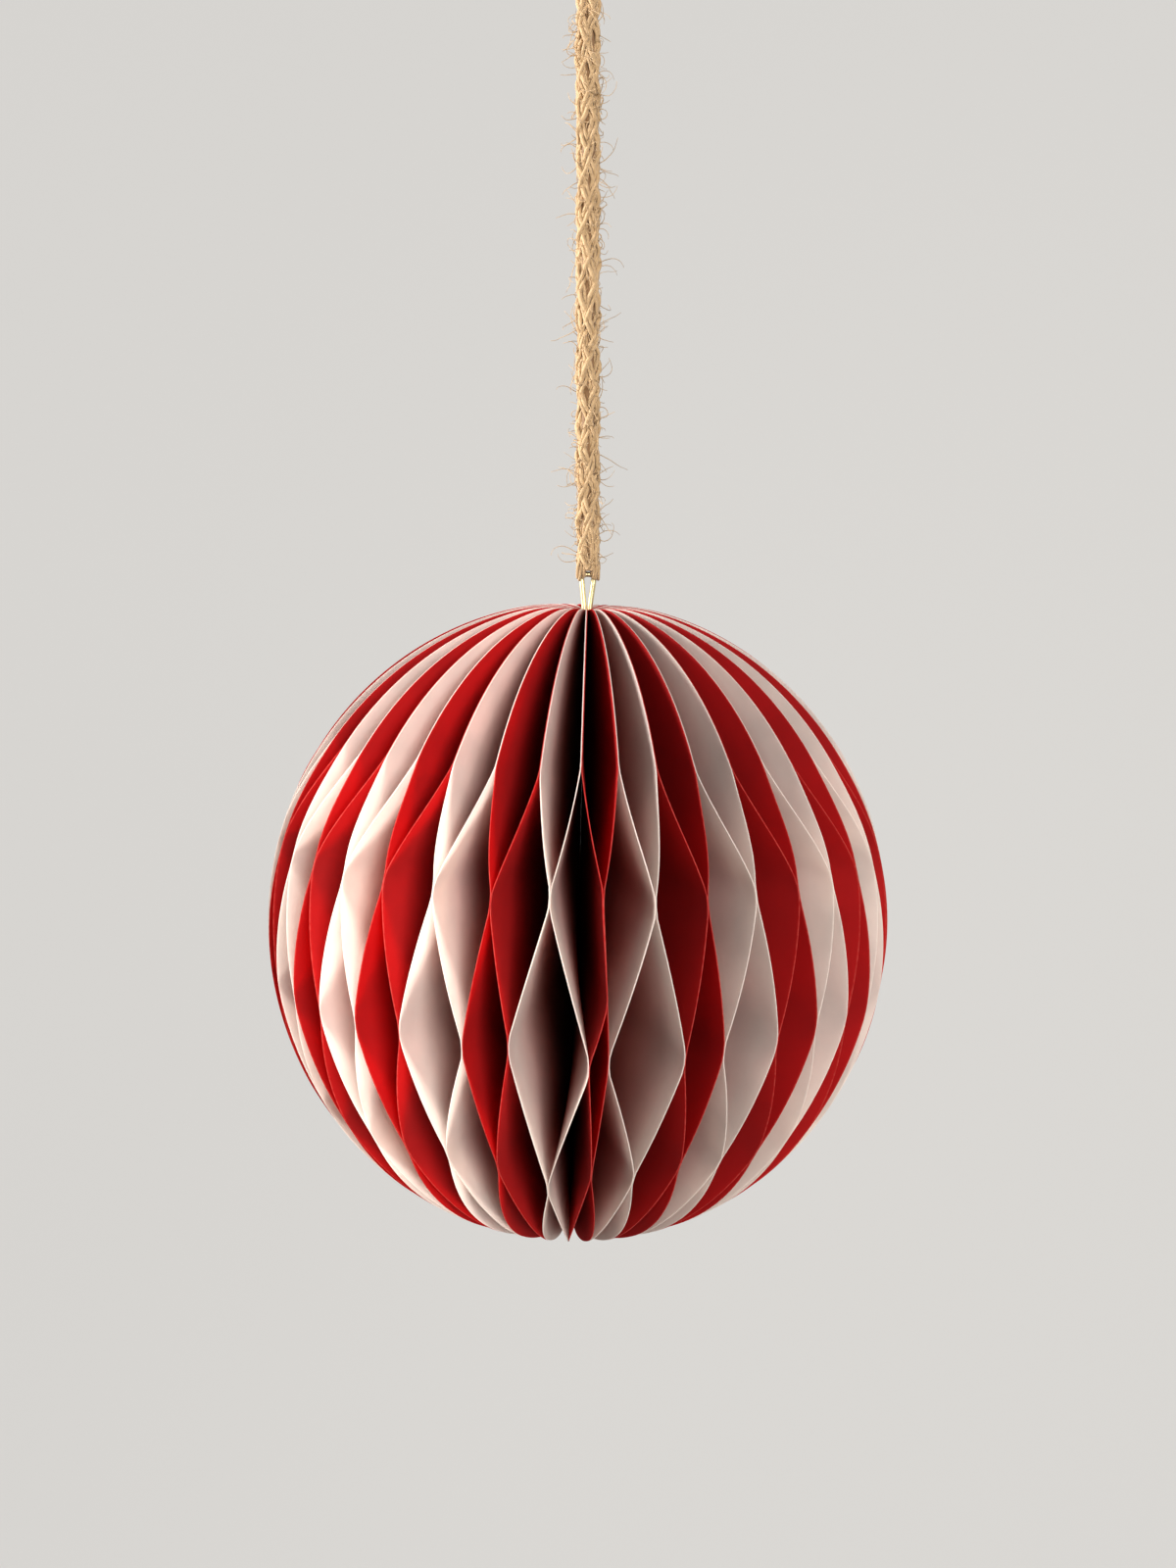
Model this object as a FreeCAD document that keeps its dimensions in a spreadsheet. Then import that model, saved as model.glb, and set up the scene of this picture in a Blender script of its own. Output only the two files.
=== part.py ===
import FreeCAD, Part

import math
import os

from FreeCAD import Placement, Rotation, Vector

# A paper honeycomb ball of folded discs on a brass wire eye, hung from a jute cord.
# The origin is the top of the knot in the cord. Z is up and the front faces -Y.

DRIVING_VALUES = [
    # The ball: round discs, each folded in half on the ball's upright axis.
    ("disc_count", 38),
    ("ball_radius", 60.0),
    ("ball_half_height", 62.0),
    ("paper_thickness", 0.12),
    ("glue_film", 0.03),
    # Heights of the glue rows, from the ball's middle.
    ("first_row_height", 37.8),
    ("second_row_height", 15.9),
    ("third_row_height", -9.6),
    ("fourth_row_height", -33.0),
    ("fifth_row_height", -57.0),
    ("glue_spot_width", 3.0),
    # The shallow hollow round the wire, and what is left of a disc's edge there.
    ("pole_hollow_depth", 1.6),
    ("pole_hollow_radius", 7.0),
    ("pole_edge_width", 1.0),
    # How the leaves stand: crowded to the front above, turned but for the front, and one
    # red disc nearly shut.
    ("front_crowding", 7.0),
    ("side_turn", -2.2),
    ("front_hold_middle", -7.0),
    ("front_hold_reach", 18.0),
    ("front_closing", 5.4),
    ("front_closing_reach", 2.2),
    ("hang_lean", 1.65),
    # The brass wire: an eye over the ball and two legs down its middle.
    ("wire_diameter", 1.0),
    ("wire_fold_clearance", 0.1),
    ("wire_throat_gap", 0.06),
    ("eye_width", 2.3),
    ("eye_rise", 7.1),
    ("leg_end_height", -55.0),
    # The jute cord and its knot.
    ("cord_diameter", 4.6),
    ("cord_length", 110.0),
    ("cord_seat_gap", 0.3),
    ("knot_diameter", 10.0),
    ("knot_length", 9.0),
    ("knot_round", 2.6),
    ("tail_length", 9.0),
]

# Angles, in degrees, that say where the rim gets its corners near the two poles.
UPPER_RIM_ANGLES = (74.0, 56.0)
LOWER_RIM_ANGLES = (-80.0,)
HALF = 0.5

# Sides of a disc's section that run from the rim to the fold: left inner, right outer.
RIM_TO_FOLD_SIDES = (1, 5)

# Straight runs that the wire's eye is bent in.
EYE_RUNS = 7


def make_sheet(doc):
    """The driving dimensions, one named cell each."""
    sheet = doc.addObject("Spreadsheet::Sheet", "sizes")
    for row, (name, value) in enumerate(DRIVING_VALUES, start=1):
        sheet.set(f"A{row}", name)
        sheet.set(f"B{row}", str(value))
        sheet.setAlias(f"B{row}", name)
    doc.recompute()
    return sheet


class Ball:
    """Works out where every fold, rim and glue spot of the ball lies."""

    def __init__(self, sheet):
        self.count = int(sheet.disc_count)
        self.step = math.radians(360.0 / self.count)
        self.radius = sheet.ball_radius
        self.half_height = sheet.ball_half_height
        self.paper = sheet.paper_thickness
        self.layer = sheet.paper_thickness + sheet.glue_film
        self.rows = [
            sheet.first_row_height,
            sheet.second_row_height,
            sheet.third_row_height,
            sheet.fourth_row_height,
            sheet.fifth_row_height,
        ]
        self.half_spot = sheet.glue_spot_width * HALF
        self.hollow_depth = sheet.pole_hollow_depth
        self.hollow_radius = sheet.pole_hollow_radius
        self.crowding = math.radians(sheet.front_crowding)
        self.turn = math.radians(sheet.side_turn)
        self.hold_middle = math.radians(sheet.front_hold_middle)
        self.hold_reach = math.radians(sheet.front_hold_reach)
        self.closing = math.radians(sheet.front_closing)
        self.closing_reach = sheet.front_closing_reach
        # Two layers for each disc stand side by side round the middle.
        self.fold_radius = 2 * self.count * self.layer / (2 * math.pi)
        self.end_radius = self.fold_radius + sheet.pole_edge_width

    def rim_height(self, radius):
        """Height of the rim over the middle of the ball, less the hollow at the pole."""
        full = self.half_height * math.sqrt(1 - (radius / self.radius) ** 2)
        return full - self.hollow_depth * math.exp(-((radius / self.hollow_radius) ** 2))

    def rim_radius(self, height):
        return self.radius * math.sqrt(1 - (height / self.half_height) ** 2)

    def stations(self):
        """Fold height, rim radius, rim height and openness, from the top to the bottom."""
        found = []
        top = self.rim_height(self.end_radius)
        found.append((top, self.end_radius, top, 1.0))
        upper = self.rows[0] + self.half_spot
        for angle in UPPER_RIM_ANGLES:
            radius = self.radius * math.cos(math.radians(angle))
            share = radius / self.rim_radius(upper)
            fold = top + (upper - top) * share ** 2
            found.append((fold, radius, self.rim_height(radius), 1.0))
        for number, row in enumerate(self.rows):
            openness = 1.0 if number % 2 == 0 else 0.0
            edges = (row + self.half_spot, row - self.half_spot)
            if number > 0:
                middle = (self.rows[number - 1] + row) * HALF
                found.append((middle, self.rim_radius(middle), middle, HALF))
            if number == len(self.rows) - 1:
                edges = (row + self.half_spot,)
            for height in edges:
                found.append((height, self.rim_radius(height), height, openness))
        lowest = found[-1]
        for angle in LOWER_RIM_ANGLES:
            radius = self.radius * math.cos(math.radians(angle))
            share = radius / lowest[1]
            fold = -top + (lowest[0] + top) * share ** 2
            found.append((fold, radius, -self.rim_height(radius), 1.0))
        found.append((-top, self.end_radius, -top, 1.0))
        return found

    def seam_angle(self, place, radius, height):
        """Angle of a seam round the ball; place counts discs from the front one."""
        even = place * self.step
        share = (height - self.rows[1]) / (self.rows[0] - self.rows[1])
        crowd = self.crowding * min(max(share, 0.0), 1.0) * math.sin(even)
        around = (even - self.hold_middle + math.pi) % (2 * math.pi) - math.pi
        turned = self.turn * (1 - math.exp(-((around / self.hold_reach) ** 2)))
        return even + (turned - crowd) * (1 - self.fold_radius / radius)

    def closing_angle(self, seam, height):
        """How far a seam between two discs leans, so that the front red disc stays shut."""
        reach = (self.rows[1] - self.rows[2], self.rows[2] - self.rows[3])
        below = height - self.rows[2]
        share = 1 - (below / reach[0] if below > 0 else -below / reach[1])
        if share <= 0:
            return 0.0
        red_disc = seam if seam % 2 == 0 else seam - 1
        around = (red_disc + self.count * HALF) % self.count - self.count * HALF
        fade = math.exp(-((around / self.closing_reach) ** 2))
        side = 1 if seam % 2 == 0 else -1
        return side * HALF * self.closing * share * fade

    def rim_angle(self, disc, side, radius, height, openness):
        """Angle of one half's rim: at the disc's own seam if shut, at its neighbour's if open."""
        shut = self.seam_angle(disc + HALF, radius, height)
        neighbour = disc + (1 if side > 0 else 0)
        opened = self.seam_angle(neighbour, radius, height)
        opened += self.closing_angle(neighbour, height)
        return shut + (opened - shut) * openness

    def section(self, disc, station):
        """The eight corners of a folded disc's section, from the left rim to the fold."""
        fold_height, rim_radius, rim_height, openness = station
        corners = []
        folds = []
        for side in (-1, 1):
            fold_angle = (disc + HALF + side * HALF * HALF) * self.step
            rim_angle = self.rim_angle(disc, side, rim_radius, rim_height, openness)
            shift = side * (1 - 2 * openness) * self.layer * HALF
            outer = side * self.paper * HALF
            outer_fold = polar_point(self.fold_radius, fold_angle, outer, fold_height)
            inner_fold = polar_point(self.fold_radius, fold_angle, -outer, fold_height)
            outer_rim = polar_point(rim_radius, rim_angle, shift + outer, rim_height)
            inner_rim = polar_point(rim_radius, rim_angle, shift - outer, rim_height)
            along = inner_rim - inner_fold
            crotch = inner_fold + along * (self.paper / along.Length)
            half = [outer_rim, inner_rim, crotch]
            corners += half if side < 0 else half[::-1]
            folds.append(outer_fold)
        return corners + folds[::-1]


def polar_point(radius, angle, sideways, height):
    """A point seen from the front at this angle, moved sideways along the circle."""
    x = radius * math.sin(angle) + sideways * math.cos(angle)
    y = -radius * math.cos(angle) + sideways * math.sin(angle)
    return Vector(x, y, height)


def flat_face(points):
    return Part.Face(Part.makePolygon(list(points) + [points[0]]))


def folded_disc(ball, disc):
    """One paper disc, folded in half on the axis, its halves waving from row to row."""
    sections = [ball.section(disc, station) for station in ball.stations()]
    faces = [flat_face(sections[0]), flat_face(sections[-1])]
    for upper, lower in zip(sections, sections[1:]):
        for index in range(len(upper)):
            after = (index + 1) % len(upper)
            # Both faces of the paper crease from the fold above to the rim below.
            if index in RIM_TO_FOLD_SIDES:
                faces.append(flat_face((upper[index], upper[after], lower[index])))
                faces.append(flat_face((upper[after], lower[after], lower[index])))
            else:
                faces.append(flat_face((upper[index], upper[after], lower[after])))
                faces.append(flat_face((upper[index], lower[after], lower[index])))
    shell = Part.Shell(faces)
    shell.sewShape()
    solid = Part.Solid(shell)
    if solid.Volume < 0:
        solid.reverse()
    return solid.removeSplitter()


class Hanging:
    """Heights along the hanging line, and how the ball leans under its wire eye."""

    def __init__(self, sheet, ball):
        self.pole = ball.rim_height(ball.end_radius)
        self.eye_top = self.pole + sheet.eye_rise
        cord_foot = self.eye_top + sheet.cord_seat_gap
        self.middle_depth = cord_foot + sheet.cord_length + sheet.knot_length
        self.lean = sheet.hang_lean

    def placement(self):
        """Puts what is drawn round the ball's middle under the cord."""
        eye_seat = Vector(0, 0, self.eye_top)
        turn = Placement(eye_seat, Rotation(Vector(0, 1, 0), self.lean))
        hung = Placement(Vector(0, 0, -self.middle_depth), Rotation())
        return hung.multiply(turn.multiply(Placement(-eye_seat, Rotation())))


def add_discs(doc, ball, placement):
    """All the paper discs, red and white in turn from the front one."""
    discs = []
    for disc in range(ball.count):
        colour = "red" if disc % 2 == 0 else "white"
        name = f"{colour}_disc_{disc // 2 + 1:02d}"
        leaf = doc.addObject("Part::Feature", name)
        leaf.Shape = folded_disc(ball, disc)
        leaf.Placement = placement
        leaf.Label = name
        discs.append(leaf)
    return discs


def wire_points(sheet, ball, hanging):
    """The wire's middle line: up one leg, past the throat, round the eye and down again."""
    wire_radius = sheet.wire_diameter * HALF
    leg_place = ball.fold_radius - sheet.wire_fold_clearance - wire_radius
    throat = (sheet.wire_diameter + sheet.wire_throat_gap) * HALF
    eye_radius = sheet.eye_width * HALF
    eye_middle = hanging.eye_top - wire_radius - eye_radius
    neck = eye_middle - hanging.pole
    # The neck runs from the throat to where it touches the eye's round.
    spread = math.asin(eye_radius / math.hypot(throat, neck)) - math.atan2(throat, neck)
    sweep = math.pi + 2 * spread
    points = [Vector(leg_place, 0, sheet.leg_end_height), Vector(throat, 0, hanging.pole)]
    for number in range(EYE_RUNS + 1):
        angle = number * sweep / EYE_RUNS - spread
        across = eye_radius * math.cos(angle)
        points.append(Vector(across, 0, eye_middle + eye_radius * math.sin(angle)))
    points += [Vector(-throat, 0, hanging.pole), Vector(-leg_place, 0, sheet.leg_end_height)]
    return points


def add_wire(doc, sheet, ball, hanging):
    """The brass wire, a round section swept along its middle line."""
    points = wire_points(sheet, ball, hanging)
    path = doc.addObject("Part::Feature", "wire_path")
    path.Shape = Part.makePolygon(points)
    outline = doc.addObject("Part::Circle", "wire_section")
    outline.setExpression("Radius", "sizes.wire_diameter / 2")
    upwards = Rotation(Vector(0, 0, 1), points[1] - points[0])
    outline.Placement = Placement(points[0], upwards)
    doc.recompute()
    wire = doc.addObject("Part::Sweep", "hanger_wire")
    wire.Sections = [outline]
    wire.Spine = (path, [f"Edge{number + 1}" for number in range(len(path.Shape.Edges))])
    wire.Solid = True
    wire.Frenet = False
    wire.Transition = "Right corner"
    wire.Label = "hanger_wire"
    wire.Placement = hanging.placement()
    return wire


def add_cord(doc):
    """The cord hangs straight from its knot to the wire eye."""
    cord = doc.addObject("Part::Cylinder", "jute_cord")
    cord.setExpression("Radius", "sizes.cord_diameter / 2")
    cord.setExpression("Height", "sizes.cord_length")
    cord.setExpression("Placement.Base.z", "-sizes.knot_length - sizes.cord_length")
    cord.Label = "jute_cord"
    return cord


def add_knot(doc, sheet):
    """The knot that ends the cord, with its edges rounded."""
    core = doc.addObject("Part::Cylinder", "knot_core")
    core.setExpression("Radius", "sizes.knot_diameter / 2")
    core.setExpression("Height", "sizes.knot_length")
    core.setExpression("Placement.Base.z", "-sizes.knot_length")
    doc.recompute()
    knot = doc.addObject("Part::Fillet", "cord_knot")
    knot.Base = core
    round_edges = []
    for number, edge in enumerate(core.Shape.Edges, start=1):
        if edge.Closed:
            round_edges.append((number, sheet.knot_round, sheet.knot_round))
    knot.Edges = round_edges
    knot.Label = "cord_knot"
    return knot


def add_tail(doc):
    """The short end of cord that stands over the knot."""
    tail = doc.addObject("Part::Cylinder", "cord_tail")
    tail.setExpression("Radius", "sizes.cord_diameter / 2")
    tail.setExpression("Height", "sizes.tail_length")
    tail.Label = "cord_tail"
    return tail


def check_parts(doc, parts):
    for item in doc.Objects:
        if "Invalid" in item.State or "Error" in item.State:
            raise RuntimeError(f"{item.Name} failed: {item.State}")
    for item in parts:
        if item.Shape.isNull() or not item.Shape.isValid():
            raise RuntimeError(f"{item.Label} has no valid shape")


def print_cord_facts(sheet, cord):
    section_area = math.pi * (sheet.cord_diameter * HALF) ** 2
    share = cord.Shape.Volume / (section_area * sheet.cord_length)
    print("cord volume over section times length:", share)
    print("cord: one straight run, no bends")


def write_parts(parts):
    os.makedirs("parts", exist_ok=True)
    for item in parts:
        item.Shape.exportStep(os.path.join("parts", item.Label + ".step"))
    print("parts written:", len(parts))


def main():
    doc = FreeCAD.newDocument("paper_ball")
    sheet = make_sheet(doc)
    ball = Ball(sheet)
    hanging = Hanging(sheet, ball)
    parts = add_discs(doc, ball, hanging.placement())
    parts.append(add_wire(doc, sheet, ball, hanging))
    cord = add_cord(doc)
    parts += [cord, add_knot(doc, sheet), add_tail(doc)]
    doc.recompute()
    check_parts(doc, parts)
    print_cord_facts(sheet, cord)
    write_parts(parts)


main()
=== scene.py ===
"""The looks of a honeycomb paper ball that hangs by a brass wire eye from a jute cord."""

import math

import bpy
import numpy as np
from bpy.props import FloatProperty, FloatVectorProperty, IntProperty, PointerProperty
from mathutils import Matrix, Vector


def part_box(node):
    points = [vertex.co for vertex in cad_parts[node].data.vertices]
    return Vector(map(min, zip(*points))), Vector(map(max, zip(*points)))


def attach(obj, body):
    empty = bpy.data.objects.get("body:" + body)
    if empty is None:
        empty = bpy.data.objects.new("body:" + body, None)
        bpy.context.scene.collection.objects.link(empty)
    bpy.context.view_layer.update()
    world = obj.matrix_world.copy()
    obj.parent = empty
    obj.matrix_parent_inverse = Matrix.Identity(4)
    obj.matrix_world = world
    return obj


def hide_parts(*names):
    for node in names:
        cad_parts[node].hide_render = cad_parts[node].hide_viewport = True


bl_info = {
    "name": "Honeycomb paper ball",
    "version": (1, 0, 0),
    "blender": (4, 5, 0),
    "location": "View3D > Sidebar > Paper ball",
    "description": "Folded red and white discs, a brass wire eye and a jute cord",
    "category": "Object",
}

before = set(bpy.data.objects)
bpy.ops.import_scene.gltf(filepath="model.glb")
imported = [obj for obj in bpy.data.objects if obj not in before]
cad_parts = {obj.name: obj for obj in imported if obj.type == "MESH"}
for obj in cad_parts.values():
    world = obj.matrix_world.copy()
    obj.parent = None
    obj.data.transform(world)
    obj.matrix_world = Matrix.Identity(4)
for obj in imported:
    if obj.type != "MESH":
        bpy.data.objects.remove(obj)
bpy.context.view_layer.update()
CORD_LOW, CORD_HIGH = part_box("jute_cord")
KNOT_LOW, KNOT_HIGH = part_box("cord_knot")
TAIL_LOW, TAIL_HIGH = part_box("cord_tail")

BODY = "root"

# Where a leaf's columns stand, from the rim inwards, as shares of the way to the fold.
COLUMN_SHARES = (0.0, 0.002, 0.005, 0.03, 0.12, 0.30, 0.56, 0.82, 1.0)
# A leaf's columns beside its crease stand this share of that way from it.
CREASE_SHARE = 1e-4
# Thickness of a sheet at its crease, over that of the paper, so that no light leaks in there.
# It lasts for the first share of the way from the crease and fades within the second.
CREASE_THICKNESS = 1.03
CREASE_END, CREASE_FADE = 0.02, 0.3
# How far apart the middles of two touching sheets are drawn, in thicknesses.
SHEET_SPACING = 1.02
QUICK_ROWS, FULL_ROWS = 60, 112
# Share of the light on a sheet that shines through it.
PAPER_GLOW = 0.58
# Edges that bend less than this are shaded smooth.
SMOOTH_ANGLE = math.radians(40)

# How far single glue spots at the front sag, by their row and their number round the ball.
FRONT_SAGS = {(2, 0): 0.0027, (2, 1): 0.0016, (2, 2): 0.0016, (3, -1): 0.0050, (3, 1): 0.0022}

# How far a strand's middle lies inside the cord, in strand radii, and how far it rises and
# dips where strands cross, as a share of the cord's radius.
STRAND_SINK = 1.04
STRAND_RISE = 0.11
# How a strand strays to the side and swells: amount, and length of a wave over 2 pi.
STRAYS = ((0.16, 0.0081), (0.10, 0.0037))
SWELL = (0.10, 0.0052)
# The three yarns of a strand: length of a turn over 2 pi, way off the strand's middle, and the
# first one's radius with what each next one is thicker, in strand radii.
YARN_COUNT = 3
YARN_TURN = 0.0026
YARN_PLACE = 0.56
YARN_RADIUS, YARN_STEP = 0.42, 0.05
# The strands and the core run on into the knot by this much.
INTO_KNOT = 0.0016
CORE_SHARE = 0.60
# Stray fibres: straight steps in one, its length, how it curls, and its slope along the cord.
FIBRE_STEPS = 9
FIBRE_LENGTHS, FIBRE_CURLS, FIBRE_SLOPES = (0.0015, 0.0065), (120, 900), (0.4, 1.6)
# The knot: turns of the cord, its thickness there and that of its filling, and how far its ends
# run in to the middle, as a share of its length.
KNOT_TURNS, KNOT_WRAP, KNOT_FILLING, KNOT_ENDS = 2.1, 0.90, 0.7, 0.08
# The tail: its strands, which stand at the golden angle, and how far they start in the knot.
TAIL_STRANDS, GOLDEN_SHARE, TAIL_START = 26, 0.381966, 0.0015
# Where the lobes round the wire stand beside the cord's middle, in millimetres.
LOBES = (-1.70, -0.98, 0.98, 1.70)
MILLIMETRE = 0.001
# How many times longer a metre is in the jute's lay map.
LAY_SCALE = 100

# The lamps, their size, and how wide their light opens.
KEY_PLACE, KEY_SIZE = (-1.24, -0.06, 0.16), 0.7
FRONT_PLACE, FRONT_SIZE = (0.42, -1.20, 0.18), 0.6
LAMP_SPREAD = math.radians(100)
LAMP_AIM = (0, 0, -0.18)
LAMP_COLOUR = (1.0, 0.97, 0.93)
SKY_COLOUR = (1.0, 0.97, 0.94, 1)
# How much of what the camera sees of the backdrop is its plain pale tone.
SEEN_SHARE = 0.9
# The backdrop: half its width, its near end, where it starts to sweep up, how far, and its top.
BACKDROP_HALF, BACKDROP_NEAR, SWEEP_START, SWEEP, BACKDROP_TOP = 3.5, -3.0, 0.9, 0.5, 3.0


def length_setting(name, description, metres):
    """A size that a user may change."""
    return FloatProperty(name=name, description=description, default=metres, unit="LENGTH")


def angle_setting(name, description, degrees):
    """An angle that a user may change, written in degrees."""
    return FloatProperty(
        name=name, description=description, default=math.radians(degrees), subtype="ANGLE"
    )


def colour_setting(name, description, colour):
    """A colour that a user may change."""
    return FloatVectorProperty(
        name=name, description=description, default=colour, subtype="COLOR"
    )


class PaperSettings(bpy.types.PropertyGroup):
    """Sizes and colours of the paper ball."""

    disc_count: IntProperty(
        name="Discs", description="Folded discs that stand round the ball", default=38, min=8
    )
    ball_radius: length_setting("Ball radius", "From the axis to the rims", 0.060)
    ball_half_height: length_setting("Half height", "From the middle to a pole", 0.062)
    rows: FloatVectorProperty(
        name="Glue rows",
        description="Heights of the glue rows over the ball's middle",
        size=5,
        default=(0.0378, 0.0159, -0.0096, -0.0330, -0.0570),
        unit="LENGTH",
    )
    spot_width: length_setting("Glue spot", "Height of one glue spot", 0.0014)
    layer: length_setting("Layer", "One sheet with its glue, at the fold", 0.00015)
    sheet: length_setting("Sheet", "Thickness of the paper at its rim", 0.00015)
    hollow_depth: length_setting("Pole hollow", "Depth of the hollow at a pole", 0.0016)
    hollow_radius: length_setting("Hollow radius", "Reach of that hollow", 0.007)
    pole_edge: length_setting("Pole edge", "What is left of a sheet at a pole", 0.001)
    crowding: angle_setting("Crowding", "How far the upper seams crowd to the front", 7.0)
    turn: angle_setting("Turn", "How far the sides are turned against the front", -2.2)
    hold_middle: angle_setting("Hold middle", "Middle of the front that keeps its place", -7.0)
    hold_reach: angle_setting("Hold reach", "Reach of the front that keeps its place", 18.0)
    closing: angle_setting("Closing", "How far seams lean in to keep a red disc shut", 5.4)
    closing_reach: FloatProperty(
        name="Closing reach", description="How many discs round that fades", default=2.2
    )
    late_opening: FloatProperty(
        name="Late opening",
        description="Share of a span in which the front red disc stays shut",
        default=0.58,
    )
    end_bend: FloatProperty(
        name="End bend",
        description="Share of a span in which a sheet bends to its glue spot",
        default=0.07,
    )
    unevenness: length_setting("Unevenness", "How far a glue spot strays in height", 0.0007)
    red: colour_setting("Red", "Colour of the red sheets", (0.60, 0.014, 0.016))
    red_edge: colour_setting("Red edge", "Cut edge of a red sheet", (0.66, 0.085, 0.07))
    # Painted shade: a red sheet turns to this darker red deep in its cell.
    red_painted_shade: colour_setting("Red painted shade", "A red sheet deep in its cell", (0.42, 0.007, 0.008))
    white: colour_setting("White", "Colour of the white sheets", (0.92, 0.84, 0.79))
    white_edge: colour_setting("White edge", "Cut edge of a white sheet", (0.90, 0.84, 0.79))
    # Painted shade and painted red reflected light: a white sheet turns to this dark pink deep in
    # its cell.
    white_painted_pink_shade: colour_setting(
        "White painted pink shade", "A white sheet tinged by the red ones", (0.68, 0.26, 0.22)
    )
    seed: IntProperty(name="Seed", description="Picks the small unevennesses", default=7)


class HangerSettings(bpy.types.PropertyGroup):
    """Sizes and colour of the wire and how the ball leans under it."""

    lean: angle_setting("Lean", "How far the ball leans", 1.65)
    wire_radius: length_setting("Wire radius", "Half the wire's thickness", 0.0005)
    throat: length_setting("Throat", "From the axis to a leg at the pole", 0.00053)
    leg_place: length_setting("Leg place", "From the axis to a leg's end", 0.001215)
    leg_end: length_setting("Leg end", "Height of the legs' ends", -0.055)
    eye_radius: length_setting("Eye radius", "Half the eye's width", 0.00115)
    eye_rise: length_setting("Eye rise", "From the pole to the eye's top", 0.0071)
    seat_gap: length_setting("Seat gap", "From the eye's top to the cord", 0.0003)
    brass: colour_setting("Brass", "Colour of the wire", (0.80, 0.68, 0.38))


class CordSettings(bpy.types.PropertyGroup):
    """Sizes and colours of the jute cord."""

    strand_count: IntProperty(name="Strands", description="Strands in the braid", default=8, min=4)
    pitch: length_setting("Pitch", "Length of one turn of a strand", 0.038)
    strand_radius: length_setting("Strand radius", "Half a strand's width", 0.00082)
    fibre_count: IntProperty(name="Fibres", description="Stray fibres along the cord", default=560)
    fibre_radius: length_setting("Fibre radius", "Half a stray fibre's width", 0.000085)
    straw: colour_setting("Straw", "Colour of the jute", (0.62, 0.435, 0.235))
    deep_straw: colour_setting("Deep straw", "Jute between its fibres", (0.25, 0.125, 0.04))
    seed: IntProperty(name="Seed", description="Picks the stray fibres", default=11)


class StageSettings(bpy.types.PropertyGroup):
    """Where the camera, the lamps and the backdrop are."""

    camera_place: FloatVectorProperty(
        name="Camera",
        description="Where the camera is",
        size=3,
        default=(0.0, -0.3508, -0.1060),
        unit="LENGTH",
    )
    camera_dip: angle_setting("Dip", "How far the camera looks down", 8.8)
    lens: FloatProperty(name="Lens", description="Focal length in millimetres", default=41.94)
    key_power: FloatProperty(name="Key", description="Left lamp in watts", default=15.5)
    front_power: FloatProperty(name="Front", description="Front lamp in watts", default=6.5)
    sky: FloatProperty(name="Sky", description="Strength of the even light", default=0.26)
    backdrop: colour_setting("Backdrop", "Colour of the floor and wall", (0.87, 0.85, 0.82))
    seen_backdrop: colour_setting(
        "Seen backdrop",
        "Pale tone in which the camera sees the floor and wall",
        (0.70, 0.685, 0.66),
    )
    floor_height: length_setting("Floor", "Height of the floor", -0.90)


def deselect_all():
    if bpy.context.object and bpy.context.object.mode != "OBJECT":
        bpy.ops.object.mode_set(mode="OBJECT")
    bpy.ops.object.select_all(action="DESELECT")


def finish_piece(piece, name, slot, *nodes):
    """Names a piece, hangs it on the body and hides the solids it stands for."""
    piece.name = name
    piece.data.name = name
    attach(piece, BODY)
    if nodes:
        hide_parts(*nodes)
    return piece


# Materials.


def new_material(name):
    material = bpy.data.materials.new(name)
    material.use_nodes = True
    nodes = material.node_tree.nodes
    nodes.clear()
    output = nodes.new("ShaderNodeOutputMaterial")
    return material, nodes, material.node_tree.links, output


def put(links, value, socket):
    """Links another node's socket to a socket, or writes a plain value on it."""
    if hasattr(value, "links"):
        links.new(value, socket)
    else:
        socket.default_value = value


def shaded(colour, share):
    return tuple(share * part for part in colour)


def calculated(nodes, links, operation, first, second):
    node = nodes.new("ShaderNodeMath")
    node.operation = operation
    put(links, first, node.inputs[0])
    put(links, second, node.inputs[1])
    return node.outputs["Value"]


def mixed_shader(nodes, links, share, first, second):
    mix = nodes.new("ShaderNodeMixShader")
    for socket, value in zip(mix.inputs, (share, first, second)):
        put(links, value, socket)
    return mix.outputs["Shader"]


def attribute(nodes, name):
    node = nodes.new("ShaderNodeAttribute")
    node.attribute_name = name
    return node.outputs["Fac"]


def add_bump(nodes, links, shader, height, strength, distance):
    bump = nodes.new("ShaderNodeBump")
    bump.inputs["Strength"].default_value = strength
    bump.inputs["Distance"].default_value = distance
    links.new(height, bump.inputs["Height"])
    links.new(bump.outputs["Normal"], shader.inputs["Normal"])


def object_noise(nodes, links, scale, detail, stretch=(1, 1, 1)):
    """A noise in the object's own coordinates, stretched along its axes."""
    place = nodes.new("ShaderNodeTexCoord")
    mapping = nodes.new("ShaderNodeMapping")
    mapping.inputs["Scale"].default_value = stretch
    noise = nodes.new("ShaderNodeTexNoise")
    noise.inputs["Scale"].default_value = scale
    noise.inputs["Detail"].default_value = detail
    links.new(place.outputs["Object"], mapping.inputs["Vector"])
    links.new(mapping.outputs["Vector"], noise.inputs["Vector"])
    return noise.outputs["Fac"]


def mixed_colour(nodes, links, low, high, share):
    mix = nodes.new("ShaderNodeMix")
    mix.data_type = "RGBA"
    for socket, value in (("A", low), ("B", high)):
        target = [s for s in mix.inputs if s.name == socket and s.type == "RGBA"][0]
        put(links, value if hasattr(value, "links") else (*value, 1.0), target)
    links.new(share, mix.inputs["Factor"])
    return [s for s in mix.outputs if s.type == "RGBA"][0]


def ranged(nodes, links, value, low, high, to_low=0.0, to_high=1.0):
    node = nodes.new("ShaderNodeMapRange")
    node.inputs["From Min"].default_value = low
    node.inputs["From Max"].default_value = high
    node.inputs["To Min"].default_value = to_low
    node.inputs["To Max"].default_value = to_high
    links.new(value, node.inputs["Value"])
    return node.outputs["Result"]


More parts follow.
